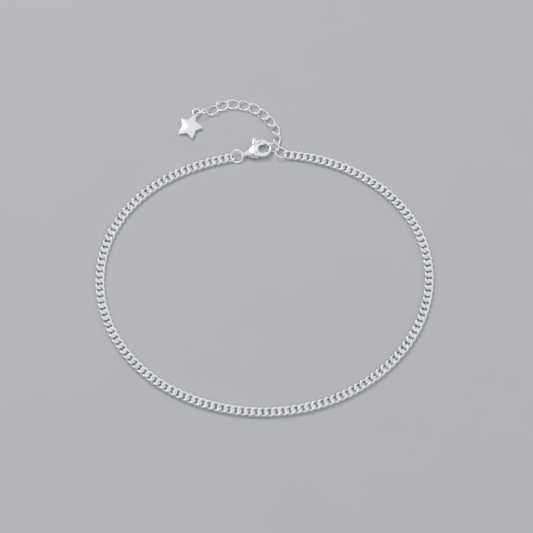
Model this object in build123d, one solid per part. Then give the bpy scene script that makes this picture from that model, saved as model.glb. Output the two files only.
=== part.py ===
from build123d import *

import os
from math import atan2, copysign, cos, degrees, hypot, pi, radians, sin, tan
from typing import NamedTuple

# A fine silver chain anklet, laid out flat and fastened. Millimetres, +Z up.
# The origin is the middle of the loop, on the surface that the anklet lies on.
# +X is to the right of the loop, and the clasp is at its +Y side.


class Wave(NamedTuple):
    """One term of the loop's plan: its order and its two sizes."""

    order: int
    cosine: float
    sine: float


class Seat(NamedTuple):
    """Where a link or ring lies: its centre, then its turns in degrees."""

    x: float
    y: float
    z: float
    heading: float
    pitch: float
    roll: float


class Station(NamedTuple):
    """One section of the clasp's case, at a distance along the clasp."""

    along: float
    low: float
    high: float
    thickness: float


class Corner(NamedTuple):
    """One corner of the star's outline, from the star's middle."""

    bearing: float
    reach: float
    rounding: float


# --- curb chain -------------------------------------------------------------
LINK_COUNT = 135
LINK_PITCH = 1.612
FIRST_BEARING = 79.5            # of the first link, beside the extender's jump ring
CURB_WIRE = 0.52
CURB_HALF_LENGTH = 1.13         # centre to the middle of an end bend's wire
CURB_HALF_WIDTH = 0.95
CURB_SQUARENESS = 2.4           # 2 would be an ellipse, and more is squarer
CURB_BENDS = 10                 # arcs round one link
CURB_TWIST = -32.0              # turn of the +X end about the link's length
CURB_HEIGHT = 0.60              # of the chain's centreline over the surface

# Distance of the chain from the origin: a mean, and waves round the bearing.
LOOP_MEAN = 36.4
LOOP_WAVES = (
    Wave(order=2, cosine=3.39, sine=0.29),
    Wave(order=3, cosine=-0.06, sine=0.23),
    Wave(order=4, cosine=0.17, sine=0.0),
    Wave(order=5, cosine=0.05, sine=0.05),
)

# --- extender chain and jump rings ------------------------------------------
OVAL_WIRE = 0.36
OVAL_HALF_LENGTH = 1.575
OVAL_HALF_WIDTH = 1.135
OVAL_END_REACH = 0.52           # half of the straight across an end
OVAL_SIDE_REACH = 0.80          # half of the straight along a side
OVAL_TWIST = -35.0

RING_WIRE = 0.42
RING_OUTER = 3.42

EXTENDER_SEATS = (
    Seat(x=1.99, y=34.60, z=1.21, heading=-2, pitch=5, roll=50),
    Seat(x=2.92, y=36.51, z=1.43, heading=88, pitch=-12, roll=42),
    Seat(x=2.71, y=39.15, z=0.94, heading=102, pitch=-5, roll=32),
    Seat(x=1.50, y=41.51, z=0.77, heading=124, pitch=-4, roll=20),
    Seat(x=-0.26, y=43.54, z=0.64, heading=139, pitch=1, roll=6),
    Seat(x=-2.46, y=45.15, z=0.62, heading=153, pitch=3, roll=-2),
    Seat(x=-5.04, y=46.06, z=0.62, heading=168, pitch=3, roll=-2),
    Seat(x=-7.74, y=46.43, z=0.69, heading=179, pitch=4, roll=0),
    Seat(x=-10.44, y=46.06, z=0.70, heading=199, pitch=4, roll=-1),
    Seat(x=-12.87, y=44.84, z=0.84, heading=209, pitch=5, roll=0),
    Seat(x=-15.40, y=44.08, z=1.29, heading=200, pitch=-7, roll=81),
)
EXTENDER_RING_SEAT = Seat(x=4.06, y=33.32, z=1.00, heading=0, pitch=-19.8, roll=-14.4)
CLASP_RING_SEAT = Seat(x=-6.80, y=32.29, z=0.92, heading=0, pitch=11.7, roll=25.5)

# --- lobster clasp ----------------------------------------------------------
# Its own axes: U runs from the tail eye to the hook, V towards the thumb nub,
# and the middle plane of the case is at the height below.
CLASP_X = -5.54
CLASP_Y = 32.93
CLASP_Z = 1.18
CLASP_HEADING = 10.0

CASE_STATIONS = (
    Station(along=0.44, low=-0.58, high=0.42, thickness=0.62),
    Station(along=0.80, low=-0.80, high=0.56, thickness=0.95),
    Station(along=1.30, low=-1.00, high=0.82, thickness=1.40),
    Station(along=1.90, low=-1.30, high=1.22, thickness=1.85),
    Station(along=2.60, low=-1.60, high=1.72, thickness=2.15),
    Station(along=3.40, low=-1.80, high=2.22, thickness=2.28),
    Station(along=4.20, low=-1.86, high=2.45, thickness=2.20),
    Station(along=5.00, low=-1.84, high=2.50, thickness=1.90),
)
CASE_ROUNDING = 0.45            # corner radius as a share of the thickness
RIM_ROUNDING = 0.10             # of the case's rim round its mouth
MOUTH_U = 7.24                  # the case ends in a hollow round wall
MOUTH_V = 0.27
MOUTH_RADIUS = 3.90

EYE_U = 0.11                    # middle of the tail eye, a loop with rounded corners
EYE_V = -0.20
EYE_HALF_LENGTH = 0.44          # to the middle of its wire, along the clasp
EYE_HALF_WIDTH = 0.80
EYE_WIRE = 0.28
EYE_TILT = -35.0                # its thumb-nub side is bent down

HOOK_U = 5.20                   # centre of the hook's outer edge
HOOK_V = 0.40
HOOK_RADIUS = 2.22
HOOK_THICKNESS = 1.16
HOOK_ROUNDING = 0.24
OPENING_U = 5.49                # the space that the hook goes round
OPENING_V = 0.33
OPENING_LENGTH = 2.73
OPENING_WIDTH = 2.18
OPENING_ROUNDING = 0.95
TIP_BEARING = 60.0              # hook's tip, from the hook's centre
CASE_BEARING = 215.0            # where the hook leaves the case

PIVOT_U = 2.90
PIVOT_V = -0.75
RIVET_RADIUS = 0.25
RIVET_LENGTH = 2.20
RIVET_GAP = 0.02
LEVER_BORE_GAP = 0.05
LEVER_HUB = 0.50
LEVER_THICKNESS = 0.86
LEVER_OPENING = 20.0            # how far the lever swings back
SLOT_WIDTH = 0.98
SLOT_GAP = 0.10
SLOT_REACH = 6.0                # from the pivot, out past the case
SLOT_BACK = 88.0                # bearing of its back wall, before the lever's swing
SLOT_FRONT = 75.0
FINGER_TURN = 2.0               # angle left open between the hook's tip and the finger
FINGER_BEARING = 113.0          # where the finger leaves the shank
NUB_U = 3.60
NUB_V = 3.14
NUB_RADIUS = 0.24
SHANK_FRONT = ((3.44, -0.40), (4.30, 0.05), (4.84, 1.20), (4.90, 2.10))
SHANK_NOTCH = ((4.42, 2.24), (4.10, 2.62))          # between the finger and the nub
SHANK_BACK = ((3.10, 2.40), (3.04, 1.60))
CHANNEL_RADIUS = 1.72           # of the groove in each face of the finger
CHANNEL_WIDTH = 0.30
CHANNEL_DEPTH = 0.26
CHANNEL_START = 84.0
CHANNEL_END = 126.0
CUTTER_LENGTH = 4.0             # more than any thickness of the clasp

# --- star charm -------------------------------------------------------------
STAR_X = -18.50
STAR_Y = 40.30
STAR_THICKNESS = 1.34
STAR_TIP_THICKNESS = 0.70
STAR_TIP_REACH = 3.15           # where the tips have that thickness
STAR_RIM_ROUNDING = 0.20
STAR_CORNERS = (
    Corner(bearing=62.0, reach=3.32, rounding=0.25),        # the arm that joins the eye
    Corner(bearing=75.5, reach=3.32, rounding=0.25),
    Corner(bearing=108.3, reach=1.85, rounding=0.70),
    Corner(bearing=134.5, reach=3.38, rounding=0.24),
    Corner(bearing=175.0, reach=1.88, rounding=0.50),
    Corner(bearing=200.2, reach=2.75, rounding=0.60),       # shoulder beside the piercing
    Corner(bearing=214.7, reach=3.46, rounding=0.26),
    Corner(bearing=248.0, reach=1.93, rounding=0.20),
    Corner(bearing=281.0, reach=3.39, rounding=0.24),
    Corner(bearing=323.0, reach=1.82, rounding=0.35),
    Corner(bearing=356.0, reach=3.40, rounding=0.25),
    Corner(bearing=402.7, reach=1.93, rounding=0.45),
)
PIERCING_X = -2.26              # small slot near one tip, from the star's middle
PIERCING_Y = -1.10
PIERCING_LENGTH = 1.00
PIERCING_WIDTH = 0.28
PIERCING_HEADING = 65.7
CHARM_EYE_OUTER = 2.25
CHARM_EYE_WIRE = 0.44
CHARM_EYE_REACH = 4.24          # star's middle to the eye's middle
CHARM_EYE_BEARING = 68.7

BEND_SHARE = 0.47               # share of a run that each bend beside it takes


def bend_radii(points):
    """Radius of each corner of a closed path, as large as its runs allow."""
    radii = []
    count = len(points)
    for i, corner in enumerate(points):
        before = Vector(points[i - 1]) - Vector(corner)
        after = Vector(points[(i + 1) % count]) - Vector(corner)
        half_turn = radians(180.0 - before.get_angle(after)) / 2
        run = min(before.length, after.length)
        radii.append(BEND_SHARE * run / tan(half_turn))
    return radii


def wire_link(points, wire):
    """A closed link of round wire that follows the rounded corners, in two halves."""
    path = FilletPolyline(*points, radius=bend_radii(points), close=True)
    runs = path.wire().order_edges()
    middle = len(runs) // 2
    halves = []
    for half in (Wire(runs[:middle]), Wire(runs[middle:])):
        section = Plane(origin=half @ 0, z_dir=half % 0) * Circle(wire / 2)
        halves.append(sweep(section, path=half))
    return halves[0] + halves[1]


def lifted(x, y, turn):
    """Turn one point of a flat outline about X by an angle in degrees."""
    return x, y * cos(radians(turn)), y * sin(radians(turn))


def squared(value):
    """A sine or cosine pushed outwards, as a curb link's rounded outline has it."""
    return copysign(abs(value) ** (2 / CURB_SQUARENESS), value)


def curb_link():
    """One link of the curb chain, lying along X."""
    spread = 1 / cos(pi / CURB_BENDS)       # corners outside, so the bends meet the outline
    points = []
    for i in range(CURB_BENDS):
        bearing = 2 * pi * (i + 0.5) / CURB_BENDS
        x = spread * CURB_HALF_LENGTH * squared(cos(bearing))
        y = spread * CURB_HALF_WIDTH * squared(sin(bearing))
        turn = CURB_TWIST * sin(pi / 2 * x / CURB_HALF_LENGTH)
        points.append(lifted(x, y, turn))
    return wire_link(points, CURB_WIRE)


def oval_link():
    """One link of the extender chain, lying along X."""
    outline = (
        (OVAL_HALF_LENGTH, OVAL_END_REACH),
        (OVAL_SIDE_REACH, OVAL_HALF_WIDTH),
        (-OVAL_SIDE_REACH, OVAL_HALF_WIDTH),
        (-OVAL_HALF_LENGTH, OVAL_END_REACH),
        (-OVAL_HALF_LENGTH, -OVAL_END_REACH),
        (-OVAL_SIDE_REACH, -OVAL_HALF_WIDTH),
        (OVAL_SIDE_REACH, -OVAL_HALF_WIDTH),
        (OVAL_HALF_LENGTH, -OVAL_END_REACH),
    )
    points = [lifted(x, y, OVAL_TWIST * x / OVAL_HALF_LENGTH) for x, y in outline]
    return wire_link(points, OVAL_WIRE)


def seated(shape, seat):
    """Roll a shape about its length, raise its +X end, turn it and place it."""
    turn = Rot(0, 0, seat.heading) * Rot(0, -seat.pitch, 0) * Rot(seat.roll, 0, 0)
    return Pos(seat.x, seat.y, seat.z) * turn * shape


def loop_point(bearing):
    """Point of the chain's centreline in plan at a bearing in radians."""
    reach = LOOP_MEAN
    for wave in LOOP_WAVES:
        turn = wave.order * bearing
        reach += wave.cosine * cos(turn) + wave.sine * sin(turn)
    return reach * cos(bearing), reach * sin(bearing)


def next_bearing(bearing):
    """Bearing one link's pitch further on, clockwise, found by halving."""
    x, y = loop_point(bearing)
    near = bearing
    far = bearing - 2 * LINK_PITCH / LOOP_MEAN
    for _ in range(40):
        middle = (near + far) / 2
        there_x, there_y = loop_point(middle)
        if hypot(there_x - x, there_y - y) < LINK_PITCH:
            near = middle
        else:
            far = middle
    return near


def chain_seats():
    """Seat of each curb link, each in line with its two neighbours."""
    bearings = [radians(FIRST_BEARING)]
    while len(bearings) < LINK_COUNT:
        bearings.append(next_bearing(bearings[-1]))
    places = [loop_point(bearing) for bearing in bearings]
    seats = []
    for i, (x, y) in enumerate(places):
        back_x, back_y = places[max(i - 1, 0)]
        on_x, on_y = places[min(i + 1, LINK_COUNT - 1)]
        heading = degrees(atan2(on_y - back_y, on_x - back_x))
        seats.append(Seat(x, y, CURB_HEIGHT, heading, 0, 0))
    return seats


def curb_chain():
    """The whole chain: loose links, each through its neighbours."""
    link = curb_link()
    return Compound([seated(link, seat).solid() for seat in chain_seats()])


def jump_ring(seat):
    """A closed round ring that joins the chain to its neighbour."""
    return seated(Torus((RING_OUTER - RING_WIRE) / 2, RING_WIRE / 2), seat)


def on_clasp(shape):
    """Place a shape made in the clasp's own axes."""
    return Pos(CLASP_X, CLASP_Y, CLASP_Z) * Rot(0, 0, CLASP_HEADING) * shape


def slab(sketch, thickness):
    """A flat plate of a sketch, half of it each side of the middle plane."""
    return extrude(sketch, amount=thickness / 2, both=True)


def polar(bearing, reach):
    """Point at a bearing in degrees and a reach from the middle."""
    return reach * cos(radians(bearing)), reach * sin(radians(bearing))


def hook_sector(start, end):
    """Wedge of the plan between two bearings from the hook's centre."""
    steps = 6
    corners = [(0.0, 0.0)]
    for i in range(steps + 1):
        corners.append(polar(start + (end - start) * i / steps, 2 * HOOK_RADIUS))
    return Pos(HOOK_U, HOOK_V) * Polygon(*corners, align=None)


def opening_sketch():
    """Plan of the space that the hook goes round."""
    opening = RectangleRounded(OPENING_LENGTH, OPENING_WIDTH, OPENING_ROUNDING)
    return Pos(OPENING_U, OPENING_V) * opening


def lever_slot():
    """The room that the lever swings in, open at the top and the mouth."""
    side = LEVER_HUB + SLOT_GAP
    back = SLOT_BACK + LEVER_OPENING
    back_x, back_y = polar(back + 90, side)
    front_x, front_y = polar(SLOT_FRONT - 90, side)
    back_run = polar(back, SLOT_REACH)
    front_run = polar(SLOT_FRONT, SLOT_REACH)
    plan = Polygon(
        (back_x, back_y),
        (back_x + back_run[0], back_y + back_run[1]),
        (front_x + front_run[0], front_y + front_run[1]),
        (front_x, front_y),
        align=None,
    )
    return Pos(PIVOT_U, PIVOT_V) * slab(plan + Circle(side), SLOT_WIDTH)


def clasp_case():
    """The fat tapered case, hollowed at its mouth."""
    sections = []
    for station in CASE_STATIONS:
        width = station.high - station.low
        plane = Plane(
            origin=(station.along, (station.low + station.high) / 2, 0),
            x_dir=(0, 1, 0),
            z_dir=(1, 0, 0),
        )
        corner = CASE_ROUNDING * min(station.thickness, width)
        sections.append(plane * RectangleRounded(width, station.thickness, corner))
    mouth = Pos(MOUTH_U, MOUTH_V) * Cylinder(MOUTH_RADIUS, CUTTER_LENGTH)
    case = loft(sections) - mouth
    rim = case.faces().sort_by(Axis.X)[-1].edges()
    return fillet(rim, RIM_ROUNDING)


def clasp_hook():
    """The fixed hook, from under the case round to its tip."""
    plan = Pos(HOOK_U, HOOK_V) * Circle(HOOK_RADIUS) - opening_sketch()
    hook = slab(plan, HOOK_THICKNESS)
    rims = hook.edges().filter_by(Plane.XY)
    return fillet(rims, HOOK_ROUNDING) - slab(hook_sector(TIP_BEARING, CASE_BEARING), CUTTER_LENGTH)


def tail_eye():
    """The loop at the tail, bent down on its thumb-nub side."""
    length, width = EYE_HALF_LENGTH, EYE_HALF_WIDTH
    corners = ((length, width, 0), (-length, width, 0), (-length, -width, 0), (length, -width, 0))
    return Pos(EYE_U, EYE_V) * Rot(EYE_TILT, 0, 0) * wire_link(corners, EYE_WIRE)


def clasp_body():
    """Case, hook and tail eye in one casting, slotted for the lever."""
    body = clasp_case() + clasp_hook() + tail_eye()
    body -= lever_slot()
    body -= Pos(PIVOT_U, PIVOT_V) * Cylinder(RIVET_RADIUS + RIVET_GAP, CUTTER_LENGTH)
    return on_clasp(body)


def lever_plan():
    """Outline of the lever: hub, shank, thumb nub and finger."""
    plan = Polygon(
        (PIVOT_U - LEVER_HUB, PIVOT_V),
        (PIVOT_U + LEVER_HUB, PIVOT_V),
        *SHANK_FRONT,
        *SHANK_NOTCH,
        (NUB_U + NUB_RADIUS, NUB_V),
        (NUB_U - NUB_RADIUS, NUB_V),
        *SHANK_BACK,
        align=None,
    )
    plan += Pos(PIVOT_U, PIVOT_V) * Circle(LEVER_HUB)
    plan += Pos(NUB_U, NUB_V) * Circle(NUB_RADIUS)
    finger = Pos(HOOK_U, HOOK_V) * Circle(HOOK_RADIUS)
    finger &= hook_sector(TIP_BEARING + FINGER_TURN, FINGER_BEARING)
    return plan + finger - opening_sketch()


def finger_channel():
    """The groove along each face of the finger."""
    plan = Circle(CHANNEL_RADIUS + CHANNEL_WIDTH / 2) - Circle(CHANNEL_RADIUS - CHANNEL_WIDTH / 2)
    plan = Pos(HOOK_U, HOOK_V) * plan & hook_sector(CHANNEL_START, CHANNEL_END)
    cut = extrude(plan, amount=CHANNEL_DEPTH)
    face = LEVER_THICKNESS / 2
    return Pos(0, 0, face - CHANNEL_DEPTH) * cut + Pos(0, 0, -face) * cut


def clasp_lever():
    """The sprung lever that closes the mouth."""
    lever = slab(lever_plan(), LEVER_THICKNESS) - finger_channel()
    lever -= Pos(PIVOT_U, PIVOT_V) * Cylinder(RIVET_RADIUS + LEVER_BORE_GAP, CUTTER_LENGTH)
    return on_clasp(lever)


def clasp_rivet():
    """The pin that the lever turns on."""
    return on_clasp(Pos(PIVOT_U, PIVOT_V) * Cylinder(RIVET_RADIUS, RIVET_LENGTH))


def star_outline():
    """Four uneven points and the arm to the eye, with every corner rounded."""
    points = [polar(corner.bearing, corner.reach) for corner in STAR_CORNERS]
    roundings = [corner.rounding for corner in STAR_CORNERS]
    return make_face(FilletPolyline(*points, radius=roundings, close=True))


def star_body():
    """The star itself: domed both sides, thinner at its tips, with a soft rim."""
    fall = (STAR_THICKNESS - STAR_TIP_THICKNESS) / 2
    dome = (STAR_TIP_REACH ** 2 + fall ** 2) / (2 * fall)
    middle = STAR_THICKNESS / 2
    star = slab(star_outline(), STAR_THICKNESS)
    star &= Pos(0, 0, middle - dome) * Sphere(dome)
    star &= Pos(0, 0, dome - middle) * Sphere(dome)
    walls = star.faces().sort_by(Axis.Z)[1:-1]
    rims = star.edges() - walls.edges().filter_by(Axis.Z)
    star = fillet(rims, STAR_RIM_ROUNDING)
    piercing = slab(SlotOverall(PIERCING_LENGTH, PIERCING_WIDTH), STAR_THICKNESS)
    return star - Pos(PIERCING_X, PIERCING_Y) * Rot(0, 0, PIERCING_HEADING) * piercing


def star_charm():
    """The puffed star with its soldered eye, flat on the surface."""
    ring_radius = (CHARM_EYE_OUTER - CHARM_EYE_WIRE) / 2
    eye = Pos(*polar(CHARM_EYE_BEARING, CHARM_EYE_REACH)) * Torus(ring_radius, CHARM_EYE_WIRE / 2)
    return Pos(STAR_X, STAR_Y, STAR_THICKNESS / 2) * (star_body() + eye)


def pieces():
    """Every node of the anklet by name."""
    made = {
        "curb_chain": curb_chain(),
        "jump_ring_clasp": jump_ring(CLASP_RING_SEAT),
        "jump_ring_extender": jump_ring(EXTENDER_RING_SEAT),
        "clasp_body": clasp_body(),
        "clasp_lever": clasp_lever(),
        "clasp_rivet": clasp_rivet(),
        "star_charm": star_charm(),
    }
    link = oval_link()
    for number, seat in enumerate(EXTENDER_SEATS, start=1):
        made[f"extender_link_{number:02d}"] = seated(link, seat)
    return made


def main():
    """Write one STEP file for each node."""
    os.makedirs("parts", exist_ok=True)
    for name, shape in pieces().items():
        export_step(shape, os.path.join("parts", name + ".step"))


if __name__ == "__main__":
    main()
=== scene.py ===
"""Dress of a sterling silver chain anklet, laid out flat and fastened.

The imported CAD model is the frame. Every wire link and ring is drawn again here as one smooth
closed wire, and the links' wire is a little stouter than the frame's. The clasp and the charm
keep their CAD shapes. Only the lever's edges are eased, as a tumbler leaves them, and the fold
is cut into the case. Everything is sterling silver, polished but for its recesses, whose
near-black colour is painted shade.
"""

import logging
import math
from dataclasses import dataclass, replace
from enum import Enum
from typing import Any, Callable, Iterable, Sequence

import bmesh
import bpy
from mathutils import Matrix, Vector
from mathutils.bvhtree import BVHTree


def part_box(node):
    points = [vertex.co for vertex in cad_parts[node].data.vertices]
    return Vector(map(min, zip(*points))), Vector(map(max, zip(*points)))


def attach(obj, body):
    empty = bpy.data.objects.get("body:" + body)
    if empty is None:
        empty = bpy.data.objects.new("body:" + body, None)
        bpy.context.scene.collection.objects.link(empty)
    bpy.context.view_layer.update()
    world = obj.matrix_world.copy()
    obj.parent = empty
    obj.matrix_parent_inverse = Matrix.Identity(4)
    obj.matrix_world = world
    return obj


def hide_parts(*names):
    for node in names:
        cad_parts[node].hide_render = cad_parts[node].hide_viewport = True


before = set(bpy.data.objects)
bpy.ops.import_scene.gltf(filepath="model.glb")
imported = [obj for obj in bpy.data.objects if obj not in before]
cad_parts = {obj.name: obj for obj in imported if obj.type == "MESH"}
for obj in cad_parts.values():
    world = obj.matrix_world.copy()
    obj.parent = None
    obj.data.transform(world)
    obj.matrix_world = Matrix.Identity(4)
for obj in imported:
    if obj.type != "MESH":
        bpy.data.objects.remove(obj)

MM = 0.001
ANKLET = "anklet"
LEVER = "lever"
# Slots of a casting's two materials.
POLISHED = 0
# The second slot holds the recesses: rough unbuffed silver painted near-black as shade.
PAINTED_SHADE_SLOT = 1
# Places of a colour Mix node's sockets, which share their names with its other kinds.
MIX_A = 6
MIX_B = 7
MIX_RESULT = 2

log = logging.getLogger("anklet")

Point = tuple[float, float, float]


def linear(hex_colour: str, alpha: float = 1.0) -> tuple[float, float, float, float]:
    """Turn an sRGB hex colour to the linear values that a shader takes.

    Args:
        hex_colour: The colour as "#RRGGBB".
        alpha: The opacity that goes with it.

    Returns:
        Linear red, green and blue, and the opacity.
    """
    parts = []
    for start in (1, 3, 5):
        value = int(hex_colour[start:start + 2], 16) / 255.0
        parts.append(value / 12.92 if value <= 0.04045 else ((value + 0.055) / 1.055) ** 2.4)
    return parts[0], parts[1], parts[2], alpha


def add_node(
    tree: bpy.types.NodeTree,
    kind: str,
    settings: dict[str, Any] | None = None,
    links: dict[str | int, bpy.types.NodeSocket] | None = None,
    values: dict[str | int, Any] | None = None,
) -> bpy.types.Node:
    """Add one node with its settings, values and incoming links.

    Args:
        tree: The tree that the node goes into.
        kind: The node's type name.
        settings: Properties of the node itself.
        links: Sockets of other nodes, by the input that each feeds.
        values: Constant values, by input.

    Returns:
        The new node.
    """
    node = tree.nodes.new(kind)
    for key, value in (settings or {}).items():
        setattr(node, key, value)
    for key, value in (values or {}).items():
        node.inputs[key].default_value = value
    for key, socket in (links or {}).items():
        tree.links.new(socket, node.inputs[key])
    return node


class Make(Enum):
    """How a silver piece was made, which shows in its surface."""

    DRAWN_WIRE = "drawn wire"
    CASTING = "casting"
    # The recess's near-black colour is painted shade; its roughness is the unbuffed metal.
    RECESS = "recess that the buff does not reach"


class TwistRun(Enum):
    """How a link's twist is spread along its length."""

    EVEN = "even"
    EASED = "eased towards the ends"


@dataclass(frozen=True)
class Silver:
    """Sterling silver, tumbled and buffed to a bright polish.

    The eye sees near-white metal with soft bright streaks, faint tumbling marks, and clouds
    of a slightly greyer tone where the buff bore less. In a recess it is left dull, and its
    near-black colour there is painted shade.
    """

    make: Make
    bright: str = "#FBFCFD"
    dull: str = "#E0E2E6"
    roughness_low: float = 0.06
    roughness_high: float = 0.16
    cloud_mm: float = 1.3
    # The noise levels between which the tone and the roughness run from low to high.
    cloud_window: tuple[float, float] = (0.25, 0.55)
    mark_window: tuple[float, float] = (0.3, 0.7)
    mark_mm: float = 0.20
    mark_depth_mm: float = 0.004
    mark_strength: float = 0.25

    def material(self) -> bpy.types.Material:
        """Build the node material.

        Returns:
            The finished material.
        """
        material = bpy.data.materials.new("sterling_silver_" + self.make.name.lower())
        material.use_nodes = True
        tree = material.node_tree
        tree.nodes.clear()
        place = add_node(tree, "ShaderNodeTexCoord").outputs["Object"]
        # Slow clouds of buffing, about a millimetre across.
        cloud = add_node(
            tree, "ShaderNodeTexNoise",
            links={"Vector": place},
            values={"Scale": 1 / (self.cloud_mm * MM), "Detail": 2.0, "Roughness": 0.5},
        ).outputs["Fac"]
        # Tumbling marks: far finer than the render, drawn just coarse enough to show.
        marks = add_node(
            tree, "ShaderNodeTexNoise",
            links={"Vector": place},
            values={"Scale": 1 / (self.mark_mm * MM), "Detail": 3.0, "Roughness": 0.6},
        ).outputs["Fac"]
        tone = add_node(
            tree, "ShaderNodeMapRange",
            links={"Value": cloud},
            values={
                "From Min": self.cloud_window[0], "From Max": self.cloud_window[1],
                "To Min": 0.0, "To Max": 1.0,
            },
        ).outputs["Result"]
        colour = add_node(
            tree, "ShaderNodeMix",
            settings={"data_type": "RGBA"},
            links={"Factor": tone},
            values={MIX_A: linear(self.dull), MIX_B: linear(self.bright)},
        )
        rough = add_node(
            tree, "ShaderNodeMapRange",
            links={"Value": marks},
            values={
                "From Min": self.mark_window[0], "From Max": self.mark_window[1],
                "To Min": self.roughness_low, "To Max": self.roughness_high,
            },
        ).outputs["Result"]
        bump = add_node(
            tree, "ShaderNodeBump",
            links={"Height": marks},
            values={"Strength": self.mark_strength, "Distance": self.mark_depth_mm * MM},
        ).outputs["Normal"]
        shader = add_node(
            tree, "ShaderNodeBsdfPrincipled",
            links={"Base Color": colour.outputs[MIX_RESULT], "Roughness": rough, "Normal": bump},
            values={"Metallic": 1.0},
        )
        add_node(
            tree, "ShaderNodeOutputMaterial",
            links={"Surface": shader.outputs["BSDF"]},
        )
        return material


@dataclass(frozen=True)
class Paper:
    """Uncoated card of the table top: matt, even, with the faintest mottle.

    The card is mid grey. The strong light that makes the silver white shows it pale.
    """

    light: str = "#7A7A81"
    shade: str = "#76767D"
    mottle_mm: float = 14.0
    roughness: float = 0.9

    def material(self) -> bpy.types.Material:
        """Build the node material.

        Returns:
            The finished material.
        """
        material = bpy.data.materials.new("pale_card")
        material.use_nodes = True
        tree = material.node_tree
        tree.nodes.clear()
        place = add_node(tree, "ShaderNodeTexCoord").outputs["Object"]
        mottle = add_node(
            tree, "ShaderNodeTexNoise",
            links={"Vector": place},
            values={"Scale": 1 / (self.mottle_mm * MM), "Detail": 3.0},
        ).outputs["Fac"]
        colour = add_node(
            tree, "ShaderNodeMix",
            settings={"data_type": "RGBA"},
            links={"Factor": mottle},
            values={MIX_A: linear(self.light), MIX_B: linear(self.shade)},
        )
        shader = add_node(
            tree, "ShaderNodeBsdfPrincipled",
            links={"Base Color": colour.outputs[MIX_RESULT]},
            values={"Roughness": self.roughness},
        )
        add_node(
            tree, "ShaderNodeOutputMaterial",
            links={"Surface": shader.outputs["BSDF"]},
        )
        return material


def new_object(name: str, data: bpy.types.ID) -> bpy.types.Object:
    """Add an object at the origin.

    Args:
        name: The object's name.
        data: Its mesh, curve, light or camera.

    Returns:
        The linked object.
    """
    obj = bpy.data.objects.new(name, data)
    bpy.context.scene.collection.objects.link(obj)
    return obj


def evaluated_mesh(obj: bpy.types.Object) -> bpy.types.Mesh:
    """Copy an object as a plain mesh, as its modifiers leave it."""
    view = bpy.context.evaluated_depsgraph_get()
    return bpy.data.meshes.new_from_object(obj.evaluated_get(view))


def finish_piece(obj: bpy.types.Object, body: str, nodes: Sequence[str]) -> None:
    """Name the body and the CAD nodes that a piece stands for.

    Args:
        obj: The finished piece.
        body: The body it rides on.
        nodes: The CAD nodes that it replaces.
    """
    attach(obj, body)
    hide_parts(*nodes)
    log.info("%s: %d faces on %s", obj.name, len(obj.data.polygons), body)


@dataclass
class Casting:
    """Takes a cast piece from its CAD solid, eases it, paints shade into its recesses and buffs
    it.
    """

    polished: bpy.types.Material
    unbuffed_painted_shade: bpy.types.Material
    weld_mm: float = 0.0002
    # Faces that meet within this angle are one flat face.
    flat_deg: float = 0.5
    # Edges sharper than these stay crisp when shaded, and are worn back when eased.
    crisp_deg: float = 28.0
    ease_deg: float = 50.0
    ease_segments: int = 2
    ease_profile: float = 0.5

    def blank(self, node: str, ease_mm: float = 0.0) -> bpy.types.Object:
        """Copy a CAD node's mesh, join its loose triangles and ease its edges.

        Args:
            node: The CAD node.
            ease_mm: How far a sharp edge is worn back, or none.

        Returns:
            The new object, with both materials in its slots.
        """
        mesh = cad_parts[node].data.copy()
        mesh.name = node + "_polished"
        mesh.materials.clear()
        mesh.materials.append(self.polished)
        mesh.materials.append(self.unbuffed_painted_shade)
        work = bmesh.new()
        work.from_mesh(mesh)
        bmesh.ops.remove_doubles(work, verts=work.verts, dist=self.weld_mm * MM)
        for face in work.faces:
            face.material_index = POLISHED
        if ease_mm > 0.0:
            bmesh.ops.dissolve_limit(
                work, angle_limit=math.radians(self.flat_deg), verts=work.verts, edges=work.edges,
            )
            sharp = [edge for edge in work.edges
                     if edge.calc_face_angle(0.0) > math.radians(self.ease_deg)]
            bmesh.ops.bevel(
                work, geom=sharp, offset=ease_mm * MM, segments=self.ease_segments,
                profile=self.ease_profile, affect="EDGES", clamp_overlap=True,
            )
        work.to_mesh(mesh)
        work.free()
        return new_object(mesh.name, mesh)

    def darken(self, piece: bpy.types.Object, inside: Callable[[Vector, Vector], bool]) -> None:
        """Give some faces the recess material: painted near-black shade on rougher, unbuffed
        metal.

        Args:
            piece: The piece.
            inside: Tells from a face's centre and normal, in metres, whether it is recessed.
        """
        for face in piece.data.polygons:
            if inside(face.center, face.normal):
                # Painted shade: a recessed face takes the near-black material.
                face.material_index = PAINTED_SHADE_SLOT

    def buff(self, piece: bpy.types.Object) -> None:
        """Close a piece's seams, shade it smooth and keep its corners crisp.

        Args:
            piece: The piece.
        """
        work = bmesh.new()
        work.from_mesh(piece.data)
        bmesh.ops.remove_doubles(work, verts=work.verts, dist=self.weld_mm * MM)
        for face in work.faces:
            face.smooth = True
        for edge in work.edges:
            edge.smooth = edge.calc_face_angle(0.0) < math.radians(self.crisp_deg)
        work.to_mesh(piece.data)
        work.free()


@dataclass(frozen=True)
class Seat:
    """Where a link or ring lies: its centre in millimetres, then its turns in degrees."""

    x: float
    y: float
    z: float
    heading: float
    pitch: float = 0.0
    roll: float = 0.0

    def place(self) -> Vector:
        """Centre of the link, in metres."""
        return Vector((self.x, self.y, self.z)) * MM

    def turn(self) -> Vector:
        """Turns about X, Y and Z in radians, taken in that order."""
        return Vector(map(math.radians, (self.roll, -self.pitch, self.heading)))


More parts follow.
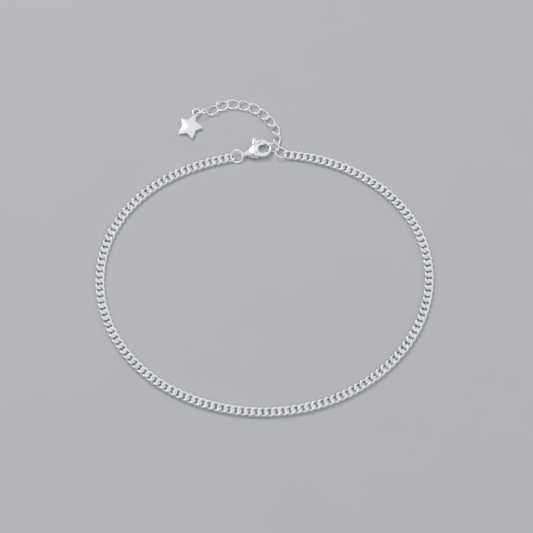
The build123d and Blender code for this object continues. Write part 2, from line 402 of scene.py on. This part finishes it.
@dataclass(frozen=True)
class LinkShape:
    """Centreline of one wire link: a rounded oval, twisted about its length."""

    name: str
    half_length_mm: float
    half_width_mm: float
    wire_mm: float
    twist_deg: float = 0.0
    squareness: float = 2.0
    twist_run: TwistRun = TwistRun.EVEN
    steps: int = 32
    # Finer points for each step, from which the even steps are measured off.
    fine_points: int = 40

    def pushed(self, value: float) -> float:
        """Push a sine or cosine outwards, as the rounded oval has it."""
        return math.copysign(abs(value) ** (2 / self.squareness), value)

    def twist_at(self, along: float) -> float:
        """Turn of the wire about the link's length.

        Args:
            along: Place along the link, from -1 to 1.

        Returns:
            The turn in radians.
        """
        share = along if self.twist_run is TwistRun.EVEN else math.sin(math.pi / 2 * along)
        return math.radians(self.twist_deg) * share

    def centreline(self) -> list[Vector]:
        """Measure off even steps round the link.

        Returns:
            The points of the closed centreline, in metres.
        """
        fine = self.fine_points * self.steps
        dense = []
        for i in range(fine + 1):
            bearing = 2 * math.pi * i / fine
            along = self.pushed(math.cos(bearing))
            across = self.half_width_mm * self.pushed(math.sin(bearing))
            turn = self.twist_at(along)
            dense.append(Vector((self.half_length_mm * along, across * math.cos(turn),
                                 across * math.sin(turn))) * MM)
        lengths = [0.0]
        for before, after in zip(dense, dense[1:]):
            lengths.append(lengths[-1] + (after - before).length)
        line = []
        here = 0
        for step in range(self.steps):
            goal = lengths[-1] * step / self.steps
            while lengths[here + 1] < goal:
                here += 1
            share = (goal - lengths[here]) / (lengths[here + 1] - lengths[here])
            line.append(dense[here].lerp(dense[here + 1], share))
        return line

    def path_object(self) -> bpy.types.Object:
        """Lay a closed curve along the link's wire, for the node tree.

        Returns:
            The curve's object.
        """
        curve = bpy.data.curves.new(self.name + "_path", "CURVE")
        curve.dimensions = "3D"
        line = self.centreline()
        spline = curve.splines.new("POLY")
        spline.points.add(len(line) - 1)
        for point, place in zip(spline.points, line):
            point.co = (*place, 1.0)
        spline.use_cyclic_u = True
        return new_object(curve.name, curve)


@dataclass
class WireWork:
    """Puts closed wire links on their seats, by one node tree."""

    material: bpy.types.Material
    wire_sides: int = 10
    seed: int = 7

    def __post_init__(self) -> None:
        """Build the node tree once for every link and ring."""
        self.tree = self.links_on_seats()

    def links_on_seats(self) -> bpy.types.NodeTree:
        """Node tree that puts a wire link on every seat.

        Returns:
            The tree, with named inputs for its sizes.
        """
        tree = bpy.data.node_groups.new("links_on_seats", "GeometryNodeTree")
        face = tree.interface
        face.new_socket("Seats", in_out="INPUT", socket_type="NodeSocketGeometry")
        face.new_socket("Link path", in_out="INPUT", socket_type="NodeSocketObject")
        face.new_socket("Wire radius", in_out="INPUT", socket_type="NodeSocketFloat")
        face.new_socket("Wire sides", in_out="INPUT", socket_type="NodeSocketInt")
        face.new_socket("Roll scatter", in_out="INPUT", socket_type="NodeSocketFloat")
        face.new_socket("Links", in_out="OUTPUT", socket_type="NodeSocketGeometry")
        given = add_node(tree, "NodeGroupInput").outputs
        path = add_node(
            tree, "GeometryNodeObjectInfo", links={"Object": given["Link path"]},
        ).outputs["Geometry"]
        section = add_node(
            tree, "GeometryNodeCurvePrimitiveCircle",
            links={"Radius": given["Wire radius"], "Resolution": given["Wire sides"]},
        ).outputs["Curve"]
        wire = add_node(
            tree, "GeometryNodeCurveToMesh", links={"Curve": path, "Profile Curve": section},
        ).outputs["Mesh"]
        turn = add_node(
            tree, "GeometryNodeInputNamedAttribute",
            settings={"data_type": "FLOAT_VECTOR"}, values={"Name": "turn"},
        ).outputs["Attribute"]
        low = add_node(
            tree, "ShaderNodeMath", settings={"operation": "MULTIPLY"},
            links={0: given["Roll scatter"]}, values={1: -1.0},
        ).outputs["Value"]
        roll = add_node(
            tree, "FunctionNodeRandomValue", settings={"data_type": "FLOAT"},
            links={2: low, 3: given["Roll scatter"]}, values={"Seed": self.seed},
        ).outputs[1]
        scatter = add_node(
            tree, "ShaderNodeCombineXYZ", links={"X": roll},
        ).outputs["Vector"]
        full = add_node(
            tree, "ShaderNodeVectorMath", settings={"operation": "ADD"},
            links={0: turn, 1: scatter},
        ).outputs["Vector"]
        copies = add_node(
            tree, "GeometryNodeInstanceOnPoints",
            links={"Points": given["Seats"], "Instance": wire, "Rotation": full},
        ).outputs["Instances"]
        real = add_node(
            tree, "GeometryNodeRealizeInstances", links={"Geometry": copies},
        ).outputs["Geometry"]
        smooth = add_node(
            tree, "GeometryNodeSetShadeSmooth", links={"Geometry": real},
        ).outputs["Geometry"]
        dressed = add_node(
            tree, "GeometryNodeSetMaterial",
            links={"Geometry": smooth}, values={"Material": self.material},
        ).outputs["Geometry"]
        add_node(tree, "NodeGroupOutput", links={"Links": dressed})
        return tree

    def make(
        self,
        name: str,
        shape: LinkShape,
        seats: Sequence[Seat],
        node: str,
        roll_scatter_deg: float = 0.0,
    ) -> None:
        """Make one piece of wire links.

        Args:
            name: The piece's name.
            shape: The link that is repeated.
            seats: Where the links lie.
            node: The CAD node that the piece stands for.
            roll_scatter_deg: How far each link may be rolled from its seat.
        """
        points = bpy.data.meshes.new(name + "_seats")
        points.from_pydata([seat.place() for seat in seats], [], [])
        turns = points.attributes.new("turn", "FLOAT_VECTOR", "POINT")
        for i, seat in enumerate(seats):
            turns.data[i].vector = seat.turn()
        holder = new_object(points.name, points)
        path = shape.path_object()
        modifier = holder.modifiers.new("links", "NODES")
        modifier.node_group = self.tree
        sizes = {
            "Link path": path,
            "Wire radius": shape.wire_mm * MM / 2,
            "Wire sides": self.wire_sides,
            "Roll scatter": math.radians(roll_scatter_deg),
        }
        for item in self.tree.interface.items_tree:
            if item.name in sizes:
                modifier[item.identifier] = sizes[item.name]
        mesh = evaluated_mesh(holder)
        mesh.name = name
        holder.modifiers.clear()
        bpy.data.objects.remove(holder)
        bpy.data.objects.remove(path)
        finish_piece(new_object(name, mesh), ANKLET, [node])


@dataclass
class CurbChain:
    """The curb chain: twisted round-wire links, each through its neighbours."""

    link_count: int = 135
    pitch_mm: float = 1.612
    first_bearing_deg: float = 79.5
    mean_reach_mm: float = 36.4
    # Order, cosine and sine of each wave of the loop's reach round the bearing.
    waves: tuple[tuple[int, float, float], ...] = (
        (2, 3.39, 0.29),
        (3, -0.06, 0.23),
        (4, 0.17, 0.0),
        (5, 0.05, 0.05),
    )
    roll_scatter_deg: float = 1.0
    # Halvings of the stretch in which the next link's place is sought.
    halvings: int = 40
    link: LinkShape = LinkShape(
        name="curb_link",
        half_length_mm=1.13,
        half_width_mm=0.95,
        wire_mm=0.62,
        twist_deg=-32.0,
        squareness=2.4,
        twist_run=TwistRun.EASED,
        steps=26,
    )

    def loop_point(self, bearing: float) -> Vector:
        """Point of the chain's centreline in plan.

        Args:
            bearing: Angle round the loop, in radians.

        Returns:
            The point in millimetres.
        """
        reach = self.mean_reach_mm
        for order, cosine, sine in self.waves:
            reach += cosine * math.cos(order * bearing) + sine * math.sin(order * bearing)
        return Vector((reach * math.cos(bearing), reach * math.sin(bearing), 0.0))

    def next_bearing(self, bearing: float) -> float:
        """Find the next link, one pitch further on and clockwise.

        Args:
            bearing: The last link's bearing, in radians.

        Returns:
            The next link's bearing, in radians.
        """
        here = self.loop_point(bearing)
        near = bearing
        far = bearing - 2 * self.pitch_mm / self.mean_reach_mm
        for _ in range(self.halvings):
            middle = (near + far) / 2
            if (self.loop_point(middle) - here).length < self.pitch_mm:
                near = middle
            else:
                far = middle
        return near

    def seats(self) -> list[Seat]:
        """Seat each link in line with its two neighbours and on the CAD chain's surface.

        Returns:
            The seats, in order round the loop.
        """
        rise = max(point.z for point in self.link.centreline()) / MM + self.link.wire_mm / 2
        rock = self.link.half_width_mm * math.sin(math.radians(self.roll_scatter_deg))
        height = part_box("curb_chain")[0][2] / MM + rise + rock
        bearings = [math.radians(self.first_bearing_deg)]
        while len(bearings) < self.link_count:
            bearings.append(self.next_bearing(bearings[-1]))
        places = [self.loop_point(bearing) for bearing in bearings]
        seats = []
        for i, place in enumerate(places):
            run = places[min(i + 1, self.link_count - 1)] - places[max(i - 1, 0)]
            heading = math.degrees(math.atan2(run.y, run.x))
            seats.append(Seat(place.x, place.y, height, heading))
        return seats

    def build(self, wire: WireWork) -> None:
        """Make the chain as one plain mesh.

        Args:
            wire: The wire maker.
        """
        wire.make("curb_chain_links", self.link, self.seats(), "curb_chain", self.roll_scatter_deg)


@dataclass
class Extender:
    """The extender's oval links and the two jump rings."""

    # The links' wire is stouter here than in the frame, and lies on the same surface.
    rise_mm: float = 0.025
    link: LinkShape = LinkShape(
        name="oval_link",
        half_length_mm=1.575,
        half_width_mm=1.135,
        wire_mm=0.40,
        twist_deg=-35.0,
        squareness=2.3,
        steps=48,
    )
    ring: LinkShape = LinkShape(
        name="jump_ring",
        half_length_mm=1.50,
        half_width_mm=1.50,
        wire_mm=0.42,
        steps=56,
    )
    link_seats: tuple[Seat, ...] = (
        Seat(1.99, 34.60, 1.21, -2, 5, 50),
        Seat(2.92, 36.51, 1.43, 88, -12, 42),
        Seat(2.71, 39.15, 0.94, 102, -5, 32),
        Seat(1.50, 41.51, 0.77, 124, -4, 20),
        Seat(-0.26, 43.54, 0.64, 139, 1, 6),
        Seat(-2.46, 45.15, 0.62, 153, 3, -2),
        Seat(-5.04, 46.06, 0.62, 168, 3, -2),
        Seat(-7.74, 46.43, 0.69, 179, 4, 0),
        Seat(-10.44, 46.06, 0.70, 199, 4, -1),
        Seat(-12.87, 44.84, 0.84, 209, 5, 0),
        Seat(-15.40, 44.08, 1.29, 200, -7, 81),
    )
    extender_ring_seat: Seat = Seat(4.06, 33.32, 1.00, 0, -19.8, -14.4)
    clasp_ring_seat: Seat = Seat(-6.80, 32.29, 0.92, 0, 11.7, 25.5)

    def build(self, wire: WireWork) -> None:
        """Make each ring and link as a piece of its own.

        Args:
            wire: The wire maker.
        """
        wire.make("jump_ring_clasp_wire", self.ring, [self.clasp_ring_seat], "jump_ring_clasp")
        wire.make("jump_ring_extender_wire", self.ring, [self.extender_ring_seat],
                  "jump_ring_extender")
        for number, seat in enumerate(self.link_seats, start=1):
            node = f"extender_link_{number:02d}"
            raised = replace(seat, z=seat.z + self.rise_mm)
            wire.make(node + "_wire", self.link, [raised], node)


@dataclass
class LobsterClasp:
    """The clasp: its cast body and rivet, and the lever that moves."""

    centre_mm: Point = (-5.54, 32.93, 1.18)
    heading_deg: float = 10.0
    # The fold along the case's lower flank, in the clasp's own axes. Its cut walls are painted
    # near-black as shade.
    fold: tuple[tuple[float, float], ...] = (
        (1.66, -0.46), (2.08, -0.62), (2.46, -0.87), (2.72, -1.13), (2.90, -1.40),
    )
    fold_swell: tuple[float, ...] = (0.3, 0.9, 1.0, 0.9, 0.3)
    fold_radius_mm: float = 0.17
    fold_lift_mm: float = 0.03
    fold_rounding: int = 3
    # Height over the clasp from which the case's surface is felt for.
    feeler_mm: float = 10.0
    lever_ease_mm: float = 0.07
    lever_face_mm: float = 0.43
    hook_centre: tuple[float, float] = (5.20, 0.40)
    # The groove in each face of the finger, by its distance and bearing from the hook's centre.
    channel_low_mm: float = 1.55
    channel_high_mm: float = 1.89
    channel_start_deg: float = 83.0
    channel_end_deg: float = 127.0

    def axes(self) -> Matrix:
        """The clasp's own axes, in millimetres, placed in the frame."""
        turn = Matrix.Rotation(math.radians(self.heading_deg), 4, "Z")
        return Matrix.Translation(self.centre_mm) @ turn

    def fold_cutter(self, body: bpy.types.Object) -> bpy.types.Object:
        """Lay a tapered round bar in the case's surface, where its fold is.

        Args:
            body: The clasp's body.

        Returns:
            The bar, as a mesh object.
        """
        vertices = [vertex.co for vertex in body.data.vertices]
        surface = BVHTree.FromPolygons(vertices, [face.vertices for face in body.data.polygons])
        curve = bpy.data.curves.new("fold_bar", "CURVE")
        curve.dimensions = "3D"
        curve.bevel_depth = self.fold_radius_mm * MM
        curve.bevel_resolution = self.fold_rounding
        curve.use_fill_caps = True
        spline = curve.splines.new("NURBS")
        spline.points.add(len(self.fold) - 1)
        down = Vector((0.0, 0.0, -1.0))
        for point, (along, across), swell in zip(spline.points, self.fold, self.fold_swell):
            place = self.axes() @ Vector((along, across, 0.0)) * MM
            hit = surface.ray_cast(place + Vector((0.0, 0.0, self.feeler_mm * MM)), down)[0]
            point.co = (hit.x, hit.y, hit.z + self.fold_lift_mm * MM, 1.0)
            point.radius = swell
        spline.order_u = 3
        spline.use_endpoint_u = True
        bar = new_object("fold_bar", curve)
        mesh = evaluated_mesh(bar)
        bpy.data.objects.remove(bar)
        mesh.materials.clear()
        for material in body.data.materials:
            mesh.materials.append(material)
        # The cutter's faces pass the near-black painted shade to the walls of the cut.
        for face in mesh.polygons:
            face.material_index = PAINTED_SHADE_SLOT
        return new_object("fold_cutter", mesh)

    def cut_fold(self, body: bpy.types.Object) -> None:
        """Cut the fold into the case, its walls painted near-black as shade.

        Args:
            body: The clasp's body.
        """
        cutter = self.fold_cutter(body)
        cut = body.modifiers.new("fold", "BOOLEAN")
        cut.operation = "DIFFERENCE"
        cut.object = cutter
        cut.solver = "EXACT"
        mesh = evaluated_mesh(body)
        body.modifiers.clear()
        bpy.data.objects.remove(cutter)
        mesh.name = body.data.name
        body.data = mesh

    def in_channel(self, centre: Vector, normal: Vector) -> bool:
        """Tell whether a face of the lever is in a groove along its finger, which is painted with
        shade.

        Args:
            centre: The face's centre, in metres.
            normal: Its normal, which doesn't matter here.

        Returns:
            True in a groove.
        """
        own = self.axes().inverted() @ (centre / MM)
        along, across = own.x - self.hook_centre[0], own.y - self.hook_centre[1]
        bearing = math.degrees(math.atan2(across, along))
        return (abs(own.z) < self.lever_face_mm - self.lever_ease_mm
                and self.channel_low_mm < math.hypot(along, across) < self.channel_high_mm
                and self.channel_start_deg < bearing < self.channel_end_deg)

    def build(self, casting: Casting) -> None:
        """Ease and cut the castings, paint shade into the fold and the finger's grooves, and buff
        them.

        Args:
            casting: The maker of cast pieces.
        """
        body = casting.blank("clasp_body")
        self.cut_fold(body)
        rivet = casting.blank("clasp_rivet")
        lever = casting.blank("clasp_lever", self.lever_ease_mm)
        # Painted shade: the finger's grooves take the near-black recess material.
        casting.darken(lever, self.in_channel)
        for piece in (body, rivet, lever):
            casting.buff(piece)
        finish_piece(body, ANKLET, ["clasp_body"])
        finish_piece(rivet, ANKLET, ["clasp_rivet"])
        finish_piece(lever, LEVER, ["clasp_lever"])


@dataclass
class StarCharm:
    """The puffed star with its soldered eye, pierced near one tip."""

    piercing_mm: tuple[float, float] = (-20.76, 39.20)
    piercing_heading_deg: float = 65.7
    piercing_length_mm: float = 1.00
    piercing_width_mm: float = 0.28
    margin_mm: float = 0.02
    # Most that an upright wall's normal rises.
    upright: float = 0.1

    def in_piercing(self, centre: Vector, normal: Vector) -> bool:
        """Tell whether a face is a wall of the small slot.

        Args:
            centre: The face's centre, in metres.
            normal: Its normal.

        Returns:
            True in the slot.
        """
        turn = math.radians(self.piercing_heading_deg)
        away_x = centre.x / MM - self.piercing_mm[0]
        away_y = centre.y / MM - self.piercing_mm[1]
        along = away_x * math.cos(turn) + away_y * math.sin(turn)
        across = away_y * math.cos(turn) - away_x * math.sin(turn)
        return (abs(normal.z) < self.upright
                and abs(along) < self.piercing_length_mm / 2 + self.margin_mm
                and abs(across) < self.piercing_width_mm / 2 + self.margin_mm)

    def build(self, casting: Casting) -> None:
        """Paint shade on the walls of the charm's piercing and buff the charm.

        Args:
            casting: The maker of cast pieces.
        """
        star = casting.blank("star_charm")
        # Painted shade: the piercing's walls take the near-black recess material.
        casting.darken(star, self.in_piercing)
        casting.buff(star)
        finish_piece(star, ANKLET, ["star_charm"])


@dataclass(frozen=True)
class SoftBox:
    """A soft box: where it hangs and its width and height, in millimetres, and its watts."""

    name: str
    place_mm: Point
    size_mm: tuple[float, float]
    power: float


@dataclass
class Studio:
    """Card, light tent, soft boxes and the camera."""

    aim_mm: Point = (0.517, 3.70, 0.0)
    elevation_deg: float = 70.2
    distance_mm: float = 584.4
    lens_mm: float = 162.1
    nearest_m: float = 0.01
    farthest_m: float = 10.0
    floor_mm: float = 3000.0
    boxes: tuple[SoftBox, ...] = (
        SoftBox("key_box", (-200, 260, 480), (180, 180), 5.0),
        SoftBox("rim_box", (420, 160, 240), (80, 300), 0.5),
    )
    # The tent's walls are dark up to the skirt's height and full bright from the dome's.
    tent_hex: str = "#F4F6FA"
    skirt_height: float = 0.22
    dome_height: float = 0.80
    skirt_strength: float = 0.03
    dome_strength: float = 2.9

    def floor(self) -> None:
        """Lay the card under the anklet."""
        half = self.floor_mm * MM / 2
        mesh = bpy.data.meshes.new("table_card")
        corners = [(-half, -half, 0), (half, -half, 0), (half, half, 0), (-half, half, 0)]
        mesh.from_pydata(corners, [], [(0, 1, 2, 3)])
        card = new_object("table_card", mesh)
        card.data.materials.append(Paper().material())

    def hang(self, box: SoftBox) -> None:
        """Hang one soft box, aimed at the anklet.

        Args:
            box: The soft box.
        """
        light = bpy.data.lights.new(box.name, "AREA")
        light.shape = "RECTANGLE"
        light.size = box.size_mm[0] * MM
        light.size_y = box.size_mm[1] * MM
        light.energy = box.power
        obj = new_object(box.name, light)
        obj.location = Vector(box.place_mm) * MM
        towards = Vector(self.aim_mm) * MM - obj.location
        obj.rotation_euler = towards.to_track_quat("-Z", "Y").to_euler()

    def lights(self) -> None:
        """Hang the soft boxes and put up the light tent."""
        for box in self.boxes:
            self.hang(box)
        world = bpy.data.worlds.new("light_tent")
        world.use_nodes = True
        tree = world.node_tree
        tree.nodes.clear()
        place = add_node(tree, "ShaderNodeTexCoord").outputs["Generated"]
        parts = add_node(tree, "ShaderNodeSeparateXYZ", links={"Vector": place}).outputs
        # Dark at the horizon and pale overhead, as in a tent with a black skirt.
        height = add_node(
            tree, "ShaderNodeMapRange",
            settings={"interpolation_type": "SMOOTHSTEP"},
            links={"Value": parts["Z"]},
            values={
                "From Min": self.skirt_height, "From Max": self.dome_height,
                "To Min": self.skirt_strength, "To Max": self.dome_strength,
            },
        ).outputs["Result"]
        back = add_node(
            tree, "ShaderNodeBackground",
            links={"Strength": height}, values={"Color": linear(self.tent_hex)},
        ).outputs["Background"]
        add_node(tree, "ShaderNodeOutputWorld", links={"Surface": back})
        bpy.context.scene.world = world

    def camera(self) -> None:
        """Set the camera above the front edge of the loop."""
        camera = bpy.data.cameras.new("camera")
        camera.lens = self.lens_mm
        camera.clip_start = self.nearest_m
        camera.clip_end = self.farthest_m
        obj = new_object("camera", camera)
        rise = math.radians(self.elevation_deg)
        away = Vector((0.0, -math.cos(rise), math.sin(rise))) * self.distance_mm
        obj.location = (Vector(self.aim_mm) + away) * MM
        obj.rotation_euler = (math.pi / 2 - rise, 0.0, 0.0)
        bpy.context.scene.camera = obj

    def build(self) -> None:
        """Make the whole studio."""
        self.floor()
        self.lights()
        self.camera()


def corners(bounds: Iterable[Iterable[float]]) -> list[list[float]]:
    """Turn a box's two corners to plain lists of numbers."""
    return [[float(value) for value in corner] for corner in bounds]


def main() -> None:
    """Build the studio and every piece in order."""
    logging.basicConfig(level=logging.INFO, format="%(name)s %(message)s")
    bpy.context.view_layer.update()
    wire = WireWork(material=Silver(make=Make.DRAWN_WIRE).material())
    casting = Casting(
        polished=Silver(make=Make.CASTING, mark_mm=0.24, roughness_low=0.07).material(),
        # The recesses are painted near-black as shade beside the polish, and left rougher as
        # unbuffed metal.
        unbuffed_painted_shade=Silver(
            make=Make.RECESS, bright="#26272A", dull="#17181A",
            roughness_low=0.35, roughness_high=0.55,
        ).material(),
    )
    Studio().build()
    CurbChain().build(wire)
    Extender().build(wire)
    LobsterClasp().build(casting)
    StarCharm().build(casting)


if __name__ == "__main__":
    main()
